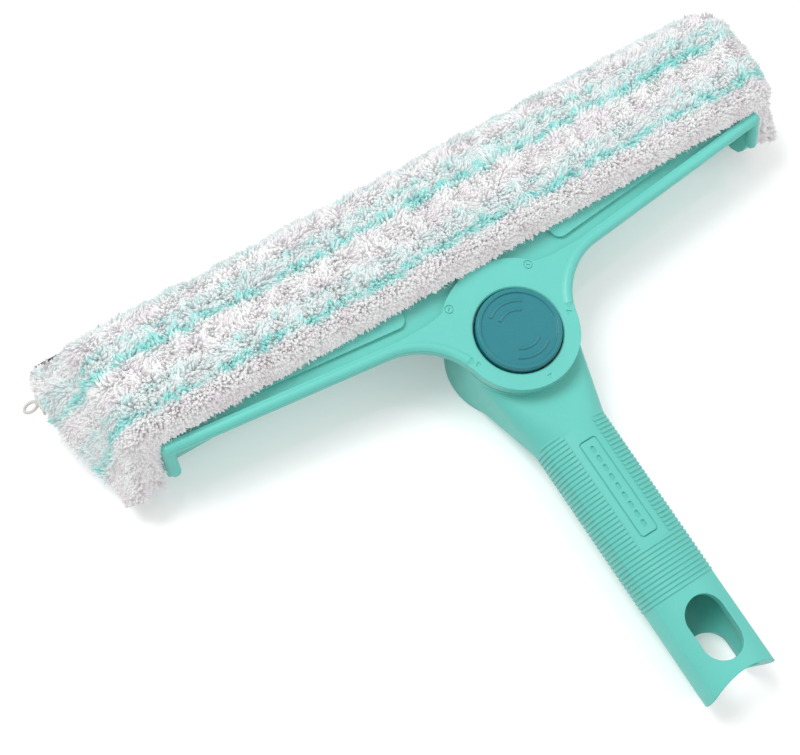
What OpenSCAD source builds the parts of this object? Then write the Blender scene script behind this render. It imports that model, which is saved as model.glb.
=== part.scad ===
// Window cleaning squeegee: swivel head with a plush washer sleeve on the front,
// a rubber blade on the back and a short handle that takes an extension pole.
// The origin is the swivel axis at the hub's flat back. +Z leaves through the
// release button, +X runs along the head and +Y points at the sleeve and blade.

/* [Overall] */
// Length of the head between the outer faces of its end cheeks
head_len = 289; // [220:1:380]
// Diameter of the round hub that carries the swivel
hub_d = 50.2; // [48:0.2:60]
// Height of the hub's front face above its back face
hub_h = 35; // [33:0.5:42]
// Distance from the swivel axis to the free end of the handle
handle_len = 160; // [140:1:240]

/* [Handle] */
// Width of the grip across the head's direction
grip_w = 32; // [29:0.5:40]
// Thickness of the grip from front to back
grip_t = 26; // [25.6:0.2:27]
// Diameter of the tapered-pole socket
socket_d = 22; // [18:0.5:22.5]
// Distance from the swivel axis to the blind end of the socket
socket_start = 75; // [66:1:90]
// Distance between neighbouring grip ribs
rib_pitch = 1.9; // [1.6:0.1:4]
// Height of a grip rib
rib_h = 0.4; // [0.2:0.05:0.8]
// Length of the catch window in the front wall of the socket
window_len = 27; // [16:1:30]
// Width of the catch window
window_w = 17; // [10:0.5:18]
// Length of the arched notch in the back wall
notch_l = 24; // [12:1:28]
// Depth of the curved cut in the handle's end
end_cut = 4.5; // [1:0.5:8]

/* [Button] */
// Diameter of the release button
button_d = 35; // [33:0.5:36]
// How far the button stands above the hub's face
button_stand = 2; // [1:0.5:4]
// How far the button can be pressed
button_travel = 3.5; // [2:0.25:3.75]

/* [Head] */
// Slope of the bow's arms in degrees
arm_slope = 6.2; // [2:0.2:12]
// Height at which an arm's lower edge would cross the swivel axis
arm_y0 = 10.9; // [8:0.1:14]
// Radius of the sweep between the hub and an arm
sweep_r = 30; // [20:1:40]
// Diameter of the rolled bead along the arms
bead_d = 5; // [4:0.2:7]
// Near edge of the rear tray, measured from the swivel axis
tray_y = 31; // [30:0.5:34]
// Height of the rear tray along +Y
tray_w = 41.5; // [38:0.5:50]

/* [Sleeve and blade] */
// How far the washer sleeve runs past each end of the head, on average
sleeve_past = 23.5; // [18:0.5:40]
// How far the sleeve and the blade lie off the head's middle, towards -X
side_shift = 6; // [0:0.5:8]
// Height of the sleeve along +Y
sleeve_w = 55; // [48:0.5:60]
// Thickness of the plush in front of its carrier
sleeve_t = 11; // [7:0.5:14]
// How far the rubber blade and its rail run past each end of the head, on average
blade_past = 16.5; // [10:0.5:32]
// How far the blade stands out of its rail
blade_out = 4; // [3:0.5:8]

/* [Fits] */
// Radial clearance of parts that turn or slide
run_gap = 0.05; // [0.02:0.01:0.08]
// Gap between faces that slide on each other
face_gap = 0.05; // [0.02:0.01:0.1]
// Clearance between soft parts and rigid ones
soft_gap = 0.4; // [0.3:0.1:1]

/* [Hidden] */
$fn = 96;

// Heights along Z
hub_r = hub_d / 2;
plate_t = 4.3;
plate_z = hub_h - plate_t;
washer_t = 0.9;
cup_top = plate_z - washer_t - 2 * face_gap;
grip_z = 15;
wall = 2.5;

// Swivel journal and its retention
button_r = button_d / 2;
hole_r = button_r + 0.7;
disc_r = hole_r + 0.9;
skirt_ri = disc_r + 0.25;
skirt_ro = skirt_ri + 2.75;
journal_r = skirt_ro + run_gap;
skirt_z = 22;
ring_t = 2;
ring_z = skirt_z - ring_t;
ring_ro = skirt_ro + 1.2;
cup_r = ring_ro + 0.25;
shoulder_z = skirt_z + face_gap * 2;
ring_screw_r = (skirt_ri + skirt_ro) / 2;
cap_t = 3;
cap_r = cup_r - 0.1;
cap_boss_r = cup_r - 2.6;

// Button and its guide post
stem_r = 4;
post_ri = stem_r + run_gap;
post_ro = 6.4;
post_z = 18;
disc_t = 2.4;
disc_z = plate_z - face_gap - disc_t;
spring_ri = post_ro + 1.2;
spring_ro = spring_ri + 1.3;

// Head
head_x = head_len / 2;
cheek_t = 3;
bead_r = bead_d / 2;
tray_y1 = tray_y + tray_w;
tray_z = 6;
sleeve_y0 = tray_y - 2.5;
sleeve_y1 = sleeve_y0 + sleeve_w;
carrier_y = (sleeve_y0 + sleeve_y1) / 2;
carrier_w = sleeve_w - 17;
carrier_top = hub_h + 1;
crown_r = 40;
sleeve_len = head_len + 2 * sleeve_past;
sleeve_x0 = -sleeve_len / 2 - side_shift;
sleeve_x1 = sleeve_len / 2 - side_shift;
sleeve_top = carrier_top + sleeve_t;
sweep_c = arm_line_in(sweep_r);
ledge_z = 7;
ledge_t = 2.5;
rail_y = tray_y1 + 9.5;
rail_w = 7.6;
rail_z = 0.3;
rail_h = ledge_z - rail_z - face_gap;
blade_len = head_len + 2 * blade_past;
rail_x0 = -blade_len / 2 - side_shift;
blade_y1 = rail_y + rail_w + blade_out;

// Colours
aqua = [0.36, 0.76, 0.71];
teal = [0.19, 0.52, 0.56];
plush = [0.90, 0.91, 0.90];
rubber = [0.09, 0.10, 0.11];
metal = [0.72, 0.73, 0.74];

// Centre of the sweep that touches the hub and an arm's lower edge
function arm_line_in(r) =
    let (n = arm_y0 * cos(arm_slope) - r)
    let (t = sqrt(pow(hub_r + r, 2) - n * n))
    [t * cos(arm_slope) - n * sin(arm_slope), t * sin(arm_slope) + n * cos(arm_slope)];

// Lower edge of an arm at a distance x from the swivel axis
function arm_edge(x) = arm_y0 + x * tan(arm_slope);

// ---------- shared shapes ----------

module both_sides() {
    children();
    mirror([1, 0, 0]) children();
}

module ring(ro, ri, h) {
    difference() {
        cylinder(r = ro, h = h);
        translate([0, 0, -1]) cylinder(r = ri, h = h + 2);
    }
}

module screw(shank_r, shank_l, head_r, head_h) {
    difference() {
        union() {
            translate([0, 0, -head_h]) cylinder(r = head_r, h = head_h);
            cylinder(r = shank_r, h = shank_l - 1);
            translate([0, 0, shank_l - 1]) cylinder(r1 = shank_r, r2 = shank_r * 0.4, h = 1);
        }
        for (a = [0, 90]) {
            rotate([0, 0, a]) translate([-head_r * 0.62, -head_r * 0.14, -head_h - 1])
                cube([head_r * 1.24, head_r * 0.28, head_h * 0.55 + 1]);
        }
    }
}

// Rounded slot outline, centred, long along Y
module slot2d(w, l) {
    translate([0, l / 2 - w / 2]) circle(r = w / 2);
    translate([0, w / 2 - l / 2]) circle(r = w / 2);
    square([w, l - w], center = true);
}

// Rounded rectangle outline, centred
module round_rect(w, l, r) {
    square([w - 2 * r, l], center = true);
    square([w, l - 2 * r], center = true);
    for (sx = [-1, 1], sy = [-1, 1]) {
        translate([sx * (w / 2 - r), sy * (l / 2 - r)]) circle(r = r);
    }
}

// ---------- handle ----------

// Grip section swept along -Y from y0 to y1, grown by g
module grip_bar(y0, y1, g = 0) {
    side_r = grip_w / 2 + g;
    flat_r = grip_w * 0.66;
    flat_c = flat_r - grip_t / 2 - g;
    translate([0, -y0, grip_z]) rotate([90, 0, 0]) intersection() {
        cylinder(r = side_r, h = y1 - y0);
        translate([0, -flat_c, 0]) cylinder(r = flat_r, h = y1 - y0);
        translate([0, flat_c, 0]) cylinder(r = flat_r, h = y1 - y0);
    }
}

// Raised grip ribs, left clear of the smooth strip that carries the label
module grip_ribs() {
    rib_0 = 37;
    rib_1 = 117;
    count = floor((rib_1 - rib_0) / rib_pitch);
    intersection() {
        grip_bar(rib_0 - 1, rib_1 + 1, rib_h);
        union() {
            for (i = [0 : count]) {
                y = rib_0 + i * rib_pitch;
                inset = y < 97 ? 7.2 : 0;
                arch = y < 44 ? (44 - y) * 0.9 : 0;
                half = grip_w / 2 + 1;
                if (inset > 0) {
                    both_sides() translate([inset + arch, -y - rib_pitch * 0.5, -1])
                        cube([half - inset - arch, rib_pitch * 0.55, 31]);
                    translate([-inset - arch, -y - rib_pitch * 0.5, -1])
                        cube([2 * (inset + arch), rib_pitch * 0.55, grip_z]);
                } else {
                    translate([-half, -y - rib_pitch * 0.5, -1])
                        cube([2 * half, rib_pitch * 0.55, 31]);
                }
            }
        }
    }
}

// Generic engraved panel: an outline with a row of plain bars
module label_panel() {
    label_y = -72.2;
    label_w = 7.7;
    label_l = 43.5;
    top = grip_z + grip_t / 2;
    translate([0, label_y, top - 0.75]) linear_extrude(2) difference() {
        round_rect(label_w + 0.5, label_l + 0.5, 1.6);
        round_rect(label_w - 0.5, label_l - 0.5, 1.2);
    }
    for (i = [-4 : 4]) {
        translate([0, label_y + i * 4.3, top - 0.55]) linear_extrude(2) slot2d(1.5, 3.1);
    }
}

module neck() {
    hull() {
        translate([0, 0, 3]) cylinder(r = hub_r - 0.4, h = cup_top - 5.4, $fn = 72);
        translate([0, -44, grip_z]) rotate([90, 0, 0]) scale([1, grip_t / grip_w, 1])
            cylinder(r = grip_w / 2 - 0.1, h = 2, $fn = 56);
    }
}

module handle_shell() {
    color(aqua) difference() {
        union() {
            cylinder(r = hub_r, h = cup_top);
            neck();
            grip_bar(42, handle_len);
            grip_ribs();
        }
        // Journal bearing, ring chamber and the cap's seat
        translate([0, 0, shoulder_z]) cylinder(r = journal_r, h = hub_h);
        difference() {
            translate([0, 0, -1]) cylinder(r = cup_r, h = shoulder_z + 1);
            for (a = [30, 150, 270]) {
                rotate([0, 0, a]) translate([cap_boss_r, 0, cap_t])
                    cylinder(r = 2.7, h = ring_z - 2.2 - cap_t);
            }
        }
        for (a = [30, 150, 270]) {
            rotate([0, 0, a]) translate([cap_boss_r, 0, -1]) cylinder(r = 1.05, h = cap_t + 9.5);
        }
        // Hollow in the back of the neck, with two stiffening webs left in it
        difference() {
            translate([-9, -67, -1]) cube([18, 37, grip_z + 8]);
            translate([-10, -44, -2]) cube([20, 2, grip_z + 10]);
            translate([-10, -57, -2]) cube([20, 2, grip_z + 10]);
        }
        // Pole socket
        translate([0, -socket_start, grip_z]) rotate([90, 0, 0])
            cylinder(r = socket_d / 2, h = handle_len);
        translate([0, -handle_len + 1.2, grip_z]) rotate([90, 0, 0])
            cylinder(r1 = socket_d / 2, r2 = socket_d / 2 + 1.4, h = 1.4);
        // Catch window in the front wall and an arched notch in the back wall
        translate([0, 10 + window_len / 2 - handle_len, grip_z]) linear_extrude(grip_t)
            slot2d(window_w, window_len);
        translate([0, -handle_len, grip_z - grip_t]) linear_extrude(grip_t)
            slot2d(window_w + 1, 2 * notch_l);
        // Curved cut across the free end
        end_r = (end_cut * end_cut + grip_w * grip_w / 4) / (2 * end_cut);
        translate([0, end_cut - handle_len - end_r, -1]) cylinder(r = end_r, h = grip_z * 2 + 2);
        label_panel();
    }
}

module back_cap() {
    color(aqua) difference() {
        union() {
            cylinder(r = cap_r, h = cap_t);
            cylinder(r = post_ro, h = post_z);
            translate([0, 0, cap_t]) ring(spring_ro + 1.6, spring_ro + 0.3, 2);
        }
        translate([0, 0, 2]) cylinder(r = post_ri, h = post_z);
        for (a = [30, 150, 270]) {
            rotate([0, 0, a]) translate([cap_boss_r, 0, -1]) cylinder(r = 1.15, h = 6);
            rotate([0, 0, a]) translate([cap_boss_r, 0, -1]) cylinder(r = 2.1, h = 2.3);
        }
    }
}

module cap_screws() {
    color(metal) for (a = [30, 150, 270]) {
        rotate([0, 0, a]) translate([cap_boss_r, 0, 1.3]) screw(1.05, 8.5, 1.95, 1.1);
    }
}

// Height of the coil's centre line after u turns, with one flat turn at each end
function coil_z(u, turns, rise, flat) =
    u < 1 ? u * flat : u > turns - 1 ? rise - (turns - u) * flat
    : flat + (u - 1) * (rise - 2 * flat) / (turns - 2);

module return_spring() {
    turns = 7;
    steps = 20;
    sides = 8;
    wire_r = (spring_ro - spring_ri) / 2;
    mean_r = (spring_ro + spring_ri) / 2;
    rise = disc_z - cap_t - 2 * wire_r;
    count = turns * steps;
    pts = [for (i = [0 : count], j = [0 : sides - 1])
        let (a = i * 360 / steps, b = j * 360 / sides + 90, r = mean_r + wire_r * cos(b))
        [r * cos(a), r * sin(a), cap_t + wire_r + coil_z(i / steps, turns, rise, 2.2 * wire_r)
            + wire_r * sin(b)]];
    skin = [for (i = [0 : count - 1], j = [0 : sides - 1], k = [0, 1])
        let (n = (j + 1) % sides, p = i * sides, q = p + sides)
        k == 0 ? [p + j, q + j, q + n] : [p + j, q + n, p + n]];
    ends = [[for (j = [0 : sides - 1]) j], [for (j = [0 : sides - 1]) (count + 1) * sides - 1 - j]];
    color(metal) polyhedron(points = pts, faces = concat(skin, ends));
}

// ---------- head ----------

// Bow outline: hub disc, sweeps and arms, up to the line y = top
module bow2d(top, end_x) {
    circle(r = hub_r);
    foot_x = sweep_c[0] - sweep_r * sin(arm_slope);
    both_sides() difference() {
        polygon([[0, -1], [sweep_c[0], sweep_c[1]], [foot_x, arm_edge(foot_x)],
            [end_x, arm_edge(end_x)], [end_x, top], [0, top]]);
        translate(sweep_c) circle(r = sweep_r);
    }
}

// Rolled bead that follows an arm and its sweep, standing just proud of the plate
module bead() {
    proud = 0.4;
    in_r = bead_r - proud;
    knob_r = bead_r + 0.06;
    foot = sweep_c - (sweep_r + in_r) * [sin(arm_slope), -cos(arm_slope)];
    end = [head_x - in_r, arm_edge(head_x - in_r) + in_r / cos(arm_slope)];
    bz = plate_z + bead_r + 0.1;
    hub_a = (atan2(-sweep_c[1], -sweep_c[0]) + 360) % 360;
    far_a = 90 + arm_slope;
    stop_a = hub_a - far_a - 10;
    cheek_a = atan2(5.6, 14);
    translate([foot[0], foot[1], bz]) rotate([0, 0, arm_slope]) rotate([0, 90, 0]) {
        translate([0, 0, 0.4]) rod(bead_r, norm(end - foot) + 1.6, 0);
        sphere(r = knob_r);
    }
    translate([sweep_c[0], sweep_c[1], bz]) rotate([0, 0, far_a + 0.7])
        rotate_extrude(angle = stop_a) translate([sweep_r + in_r, 0]) circle(r = bead_r);
    // It fades out beside the hub
    translate([sweep_c[0], sweep_c[1], bz]) rotate([0, 0, far_a + 0.2 + stop_a])
        translate([sweep_r + in_r, 0, 0]) rotate([-98, 0, 0])
            cylinder(r1 = bead_r - 0.05, r2 = 0.6, h = 9);
    // The bead turns back down the cheek's lower edge
    translate([end[0], end[1], bz]) rotate([180 - cheek_a, 0, 0]) translate([0, 0, -1.7])
        rod(bead_r - 0.1, 17.7, 0.5);
}

// Rod along +Z with a rounded far end, and a near end rounded by a share
module rod(r, l, near) {
    rotate_extrude() polygon([[0, 0], [r * (1 - near), 0], [r * (1 - near * 0.3), r * near * 0.5],
        [r, r * near * 1.4 + 0.01], [r, l - r * 0.75], [r * 0.92, l - r * 0.4],
        [r * 0.7, l - r * 0.15], [r * 0.35, l - r * 0.03], [0, l]]);
}

// End cheek: a rounded D that closes the tray and carries the bead
module cheek() {
    low_y = arm_edge(head_x) - 1.2;
    translate([head_x - cheek_t, 0, 0]) rotate([90, 0, 90]) linear_extrude(cheek_t)
        polygon([[low_y + 4, tray_z], [low_y, 9], [low_y - 1.5, 13], [low_y - 1.5, 17],
            [low_y + 4.5, hub_h - 4], [tray_y1, hub_h - 4], [tray_y1, tray_z]]);
}

module head_frame() {
    color(aqua) difference() {
        union() {
            // Hub plate and the floor of the two channels
            translate([0, 0, plate_z]) linear_extrude(1.6) bow2d(tray_y + wall, head_x - 1);
            translate([0, 0, plate_z]) linear_extrude(plate_t) intersection() {
                bow2d(tray_y + wall, head_x - 1);
                land2d();
            }
            both_sides() bead();
            both_sides() cheek();
            // Shelves that stiffen the channels beside the hub
            both_sides() shelf();
            // Rear tray that holds the sleeve carrier
            translate([-head_x + 1, tray_y, tray_z]) cube([head_len - 2, wall, plate_z - tray_z + 1]);
            translate([-head_x + 1, tray_y, tray_z]) cube([head_len - 2, tray_w, wall]);
            translate([-head_x + 1, tray_y1 - wall, tray_z]) cube([head_len - 2, wall, 22]);
            translate([-head_x, tray_y1 - 1, ledge_z])
                cube([head_len, rail_y + 5.6 - tray_y1 + 1, ledge_t]);
            both_sides() for (x = [24, 70, 116]) {
                translate([x, tray_y1 - 1, ledge_z + 0.5]) cube([2, 2.6, 12]);
            }
            // Journal skirt
            translate([0, 0, skirt_z]) cylinder(r = skirt_ro, h = plate_z - skirt_z + 1);
        }
        // Button hole and the clutch chamber under it
        translate([0, 0, plate_z - 1]) cylinder(r = hole_r, h = plate_t + 2);
        translate([0, 0, skirt_z - 1]) cylinder(r = skirt_ri, h = plate_z - skirt_z + 1);
        translate([0, 0, hub_h - 0.6]) cylinder(r1 = hole_r, r2 = hole_r + 0.7, h = 0.7);
        // Screw holes for the ring, the carrier and the rail
        for (a = [90, 210, 330]) {
            rotate([0, 0, a]) translate([ring_screw_r, 0, skirt_z - 1]) cylinder(r = 0.75, h = 6);
        }
        carrier_holes(1.6, tray_z - 1, 6);
        carrier_holes(3.2, tray_z - 1, 2.4);
        rail_holes(0.9, ledge_z - 1, 5);
        // Index marks at both ends of the swivel's range and its middle
        index_marks();
        // Drain holes in the tray's floor
        both_sides() for (x = [14, 46, 78, 110]) {
            translate([x, carrier_y, tray_z - 1]) cylinder(r = 3, h = 6);
        }
    }
}

// Raised land around the hub and along the bead
module land2d() {
    circle(r = hub_r + 6);
    both_sides() intersection() {
        polygon([[0, -40], [head_x, -40], [head_x, arm_edge(head_x) + bead_d * 0.9],
            [44, arm_edge(44) + bead_d * 0.9], [30, arm_edge(30) + 6], [0, 25]]);
        square([head_x - 1, 60]);
    }
}

// Raised block in each channel, rounded at its end beside the hub
module shelf() {
    sx = 36;
    top_y = tray_y + wall;
    low_y = arm_edge(sx) + bead_d + 5;
    far_x = head_x - 30;
    corner = [for (a = [180 : 15 : 270]) [sx + 4 + 4 * cos(a), low_y + 4 + 4 * sin(a)]];
    translate([0, 0, plate_z + 0.5]) linear_extrude(2.6)
        polygon(concat([[sx, top_y]], corner, [[far_x, arm_edge(far_x) + bead_d + 3.5], [far_x, top_y]]));
}

module index_marks() {
    for (a = [-90, -10, 190, 48, 132]) {
        r = (a == 48 || a == 132) ? hub_r + 3.6 : hub_r - 2.6;
        rotate([0, 0, a]) translate([r, 0, hub_h - 0.3]) {
            if (a == 48 || a == 132) {
                ring(1.9, 1.5, 1);
                translate([-0.2, -0.8, 0]) cube([0.4, 1.6, 1]);
            } else {
                linear_extrude(1) polygon([[1.2, 0], [-1, -1], [-1, 1]]);
            }
        }
    }
}

module carrier_holes(r, z, h) {
    both_sides() for (x = [40, 120]) {
        translate([x, carrier_y, z]) cylinder(r = r, h = h);
    }
}

module rail_holes(r, z, h) {
    both_sides() for (x = [20, 75, 130]) {
        translate([x, rail_y + 1.5, z]) cylinder(r = r, h = h);
    }
}

module sleeve_carrier() {
    cx = head_x - cheek_t - 0.4;
    cy0 = carrier_y - carrier_w / 2;
    base_y1 = tray_y1 - wall - 0.6;
    color(aqua) difference() {
        union() {
            // Crowned front that the sleeve lies on
            intersection() {
                translate([-cx, cy0, plate_z + 2]) cube([2 * cx, carrier_w, 20]);
                translate([-cx, carrier_y, carrier_top - crown_r]) rotate([0, 90, 0])
                    cylinder(r = crown_r, h = 2 * cx);
            }
            translate([-cx, cy0 + 0.2, 12]) cube([2 * cx, base_y1 - cy0 - 0.2, plate_z + 2 - 12]);
        }
        // Hollow inside
        translate([-cx - 1, cy0 + 2.6, 10]) cube([2 * cx + 2, base_y1 - cy0 - 5, plate_z - 10.4]);
    }
    color(aqua) both_sides() for (x = [40, 120]) {
        difference() {
            translate([x, carrier_y, tray_z + wall]) cylinder(r = 3.4, h = plate_z - tray_z - 1.4);
            translate([x, carrier_y, 0]) cylinder(r = 1.3, h = 22);
        }
    }
}

module carrier_plugs() {
    cx = head_x - cheek_t - 0.4;
    cy0 = carrier_y - carrier_w / 2 + 2.6;
    base_y1 = tray_y1 - wall - 3;
    color(teal) both_sides() difference() {
        translate([cx - 4.5, cy0 + 0.1, 12.5]) cube([4.3, base_y1 - cy0 - 0.4, plate_z - 13]);
        translate([cx - 5, cy0 + 2, 15]) cube([3, base_y1 - cy0 - 4, plate_z - 18]);
    }
}

module carrier_screws() {
    color(metal) both_sides() for (x = [40, 120]) {
        translate([x, carrier_y, tray_z + 1.4]) screw(1.3, 12, 3, 1.4);
    }
}

module glide_washer() {
    color([0.93, 0.93, 0.90]) translate([0, 0, plate_z - face_gap - washer_t])
        ring(hub_r - 0.3, skirt_ro + 0.3, washer_t);
}

module retaining_ring() {
    color(metal) difference() {
        translate([0, 0, ring_z]) ring(ring_ro, skirt_ri, ring_t);
        for (a = [90, 210, 330]) {
            rotate([0, 0, a]) translate([ring_screw_r, 0, ring_z - 1]) cylinder(r = 0.9, h = 4);
        }
    }
}

module ring_screws() {
    color(metal) for (a = [90, 210, 330]) {
        rotate([0, 0, a]) translate([ring_screw_r, 0, ring_z]) screw(0.75, 6.5, 1.35, 0.9);
    }
}

// Extruded rail: a flat flange and a C-shaped jaw for the blade's bulb
module blade_rail() {
    color(metal) translate([rail_x0, 0, 0]) difference() {
        union() {
            translate([0, rail_y, ledge_z - face_gap - 1.4]) cube([blade_len, rail_w, 1.4]);
            translate([0, rail_y + 2.9, rail_z]) cube([blade_len, rail_w - 2.9, rail_h]);
        }
        translate([-1, rail_y + rail_w - 2.2, rail_z + rail_h / 2]) rotate([0, 90, 0])
            cylinder(r = 1.6, h = blade_len + 2);
        translate([-1, rail_y + rail_w - 2.2, rail_z + rail_h / 2 - 0.9])
            cube([blade_len + 2, 4, 1.8]);
        translate([-rail_x0, 0, 0]) rail_holes(1, ledge_z - 4, 5);
    }
}

module squeegee_blade() {
    mid_z = rail_z + rail_h / 2;
    y0 = rail_y + rail_w - 2.2;
    color(rubber) translate([rail_x0, 0, 0]) {
        translate([0, y0, mid_z]) rotate([0, 90, 0]) cylinder(r = 1.5, h = blade_len);
        rotate([90, 0, 90]) linear_extrude(blade_len) polygon([[y0, mid_z - 0.8],
            [blade_y1 - 1.6, mid_z - 0.8], [blade_y1 - 0.2, mid_z - 0.35], [blade_y1, mid_z - 0.35],
            [blade_y1, mid_z + 0.35], [blade_y1 - 0.2, mid_z + 0.35],
            [blade_y1 - 1.6, mid_z + 0.8], [y0, mid_z + 0.8]]);
    }
}

module rail_clips() {
    color(teal) translate([-side_shift, 0, 0]) both_sides() {
        translate([blade_len / 2 + face_gap, 0, 0]) difference() {
            translate([0, rail_y + 1, rail_z - 0.3]) cube([1.8, rail_w - 0.6, rail_h + 0.6]);
            translate([1, rail_y + 3, rail_z + 1.4]) cube([2, rail_w - 4.6, rail_h - 2.8]);
        }
        translate([blade_len / 2 - 4, rail_y + rail_w - 2.6, rail_z - 0.3]) cube([4.2, 1.6, 0.25]);
    }
}

module rail_screws() {
    color(metal) both_sides() for (x = [20, 75, 130]) {
        translate([x, rail_y + 1.5, ledge_z - face_gap - 1.4]) screw(0.9, 4.6, 1.3, 1);
    }
}

// ---------- sleeve ----------

// Rounded block between two corners, rounded to radius r
module soft_block(p0, p1, r) {
    hull() for (x = [p0[0] + r, p1[0] - r], y = [p0[1] + r, p1[1] - r], z = [p0[2] + r, p1[2] - r]) {
        translate([x, y, z]) sphere(r = r, $fn = 20);
    }
}

module washer_sleeve() {
    cheek_clear = head_x + soft_gap;
    end_y0 = arm_edge(head_x) - 5;
    end_z0 = ledge_z + ledge_t + 1;
    color(plush) difference() {
        union() {
            soft_block([sleeve_x0, sleeve_y0, plate_z + 2], [sleeve_x1, sleeve_y1, sleeve_top], 7);
            soft_block([sleeve_x0 + 14, tray_y1 + 2, end_z0 + 0.5],
                [sleeve_x1 - 8, sleeve_y1, hub_h + 6], 3);
            soft_block([cheek_clear - 2, end_y0, end_z0],
                [sleeve_x1, sleeve_y1 - 1, sleeve_top - 3], 7);
            soft_block([sleeve_x0, end_y0, end_z0],
                [2 - cheek_clear, sleeve_y1 - 1, sleeve_top - 3], 7);
        }
        translate([-cheek_clear, 0, -1])
            cube([2 * cheek_clear, carrier_y + carrier_w / 2 + soft_gap, carrier_top + soft_gap + 1]);
    }
}

module hook_strips() {
    color([0.85, 0.87, 0.87]) both_sides() translate([30, tray_y1, 13]) cube([36, 1.4, 8]);
}

// Ring of cord that threads the tab
module cord_ring(wire_r) {
    translate([sleeve_x0 - 4.3, sleeve_y1 - 14, hub_h - 8.5]) rotate_extrude()
        translate([3.4, 0]) circle(r = wire_r, $fn = 32);
}

module loop_tab() {
    color([0.93, 0.93, 0.92]) difference() {
        translate([sleeve_x0 - 1.2, sleeve_y1 - 18, hub_h - 11]) cube([1.2, 8, 5]);
        cord_ring(0.55);
    }
}

module hang_loop() {
    color([0.95, 0.95, 0.94]) cord_ring(0.5);
}

// ---------- button ----------

module release_button() {
    top = hub_h + button_stand;
    color(teal) difference() {
        union() {
            translate([0, 0, plate_z - face_gap]) cylinder(r = button_r, h = top - plate_z + face_gap - 1.2);
            translate([0, 0, top - 1.2]) cylinder(r1 = button_r, r2 = button_r - 0.8, h = 1.2);
            translate([0, 0, cap_t + button_travel]) cylinder(r = stem_r, h = plate_z - cap_t - button_travel);
        }
        // Dished face inside a raised rim
        translate([0, 0, top - 0.7]) cylinder(r1 = button_r - 2.4, r2 = button_r - 1.8, h = 1);
        // Groove that takes the stem clip
        translate([0, 0, disc_z - 1.15]) ring(stem_r + 1, stem_r - 0.6, 1.1);
    }
    color(teal) for (s = [0, 180], r = [12.1, 8.2]) {
        rotate([0, 0, s + 52]) translate([0, 0, top - 0.9])
            rotate_extrude(angle = 76) translate([r, 0]) circle(r = 0.75, $fn = 24);
    }
}

module clutch_disc() {
    color([0.80, 0.82, 0.82]) difference() {
        translate([0, 0, disc_z]) cylinder(r = disc_r, h = disc_t);
        translate([0, 0, disc_z - 1]) cylinder(r = stem_r + 0.02, h = disc_t + 2);
        translate([0, 0, disc_z - 1]) ring(spring_ri - 0.6, stem_r + 1.6, 1.5);
    }
}

module stem_clip() {
    color(metal) difference() {
        translate([0, 0, disc_z - 1.1]) cylinder(r = stem_r + 1.6, h = 1);
        translate([0, 0, disc_z - 2]) cylinder(r = stem_r - 0.5, h = 3);
        translate([-1.6, 0, disc_z - 2]) cube([3.2, 10, 3]);
    }
}

handle_shell();
back_cap();
cap_screws();
return_spring();
head_frame();
sleeve_carrier();
carrier_plugs();
carrier_screws();
glide_washer();
retaining_ring();
ring_screws();
blade_rail();
squeegee_blade();
rail_clips();
rail_screws();
washer_sleeve();
hook_strips();
loop_tab();
hang_loop();
release_button();
clutch_disc();
stem_clip();
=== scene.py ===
"""Looks of a window cleaning squeegee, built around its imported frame.

Every length is in metres and every place is in the frame's axes: +X runs along
the head, +Y from the hub towards the sleeve and the blade, and +Z out of the
release button. The handle runs along -Y and the tool lies on its back at z = 0.
"""

import logging
from dataclasses import dataclass, field
from enum import Enum

import bpy
import numpy as np
from mathutils import Matrix, Vector


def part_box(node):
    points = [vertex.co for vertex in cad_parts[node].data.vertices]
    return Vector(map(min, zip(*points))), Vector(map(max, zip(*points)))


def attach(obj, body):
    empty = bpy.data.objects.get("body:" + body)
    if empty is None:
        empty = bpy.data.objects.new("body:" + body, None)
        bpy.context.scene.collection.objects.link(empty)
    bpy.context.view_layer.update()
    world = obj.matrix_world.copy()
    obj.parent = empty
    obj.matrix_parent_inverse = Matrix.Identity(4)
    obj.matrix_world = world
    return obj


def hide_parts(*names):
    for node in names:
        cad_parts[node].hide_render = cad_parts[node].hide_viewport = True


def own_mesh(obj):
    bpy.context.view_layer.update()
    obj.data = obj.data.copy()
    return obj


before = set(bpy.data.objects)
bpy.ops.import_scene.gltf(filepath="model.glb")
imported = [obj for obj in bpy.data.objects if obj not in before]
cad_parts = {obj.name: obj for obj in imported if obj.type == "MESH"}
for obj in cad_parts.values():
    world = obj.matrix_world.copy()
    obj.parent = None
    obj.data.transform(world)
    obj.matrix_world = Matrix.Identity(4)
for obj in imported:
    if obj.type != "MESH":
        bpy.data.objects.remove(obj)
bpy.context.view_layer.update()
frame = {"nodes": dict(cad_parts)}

LOG = logging.getLogger("squeegee")
MM = 0.001
TINY = 1e-12

Array = np.ndarray
Colour = tuple[float, float, float]
Material = bpy.types.Material
Socket = bpy.types.NodeSocket


def srgb(red: int, green: int, blue: int) -> Colour:
    """Turns a display colour into the linear colour that shaders use.

    Args:
        red: Red from 0 to 255.
        green: Green from 0 to 255.
        blue: Blue from 0 to 255.

    Returns:
        The linear colour.
    """
    share = np.array([red, green, blue]) / 255.0
    low = share / 12.92
    high = ((share + 0.055) / 1.055) ** 2.4
    return tuple(float(v) for v in np.where(share <= 0.04045, low, high))


def shade(colour: Colour, factor: float) -> Colour:
    """A colour made lighter or darker by a factor."""
    return tuple(min(1.0, c * factor) for c in colour)


def smoothstep(low: float, high: float, value: Array) -> Array:
    """Rises from 0 to 1 between low and high along 3t^2 - 2t^3."""
    t = np.clip((value - low) / (high - low), 0.0, 1.0)
    return t * t * (3.0 - 2.0 * t)


class Axis(Enum):
    """The direction that a brushed or extruded finish runs in."""

    ALONG_X = 0
    ALONG_Y = 1
    ALONG_Z = 2


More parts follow.
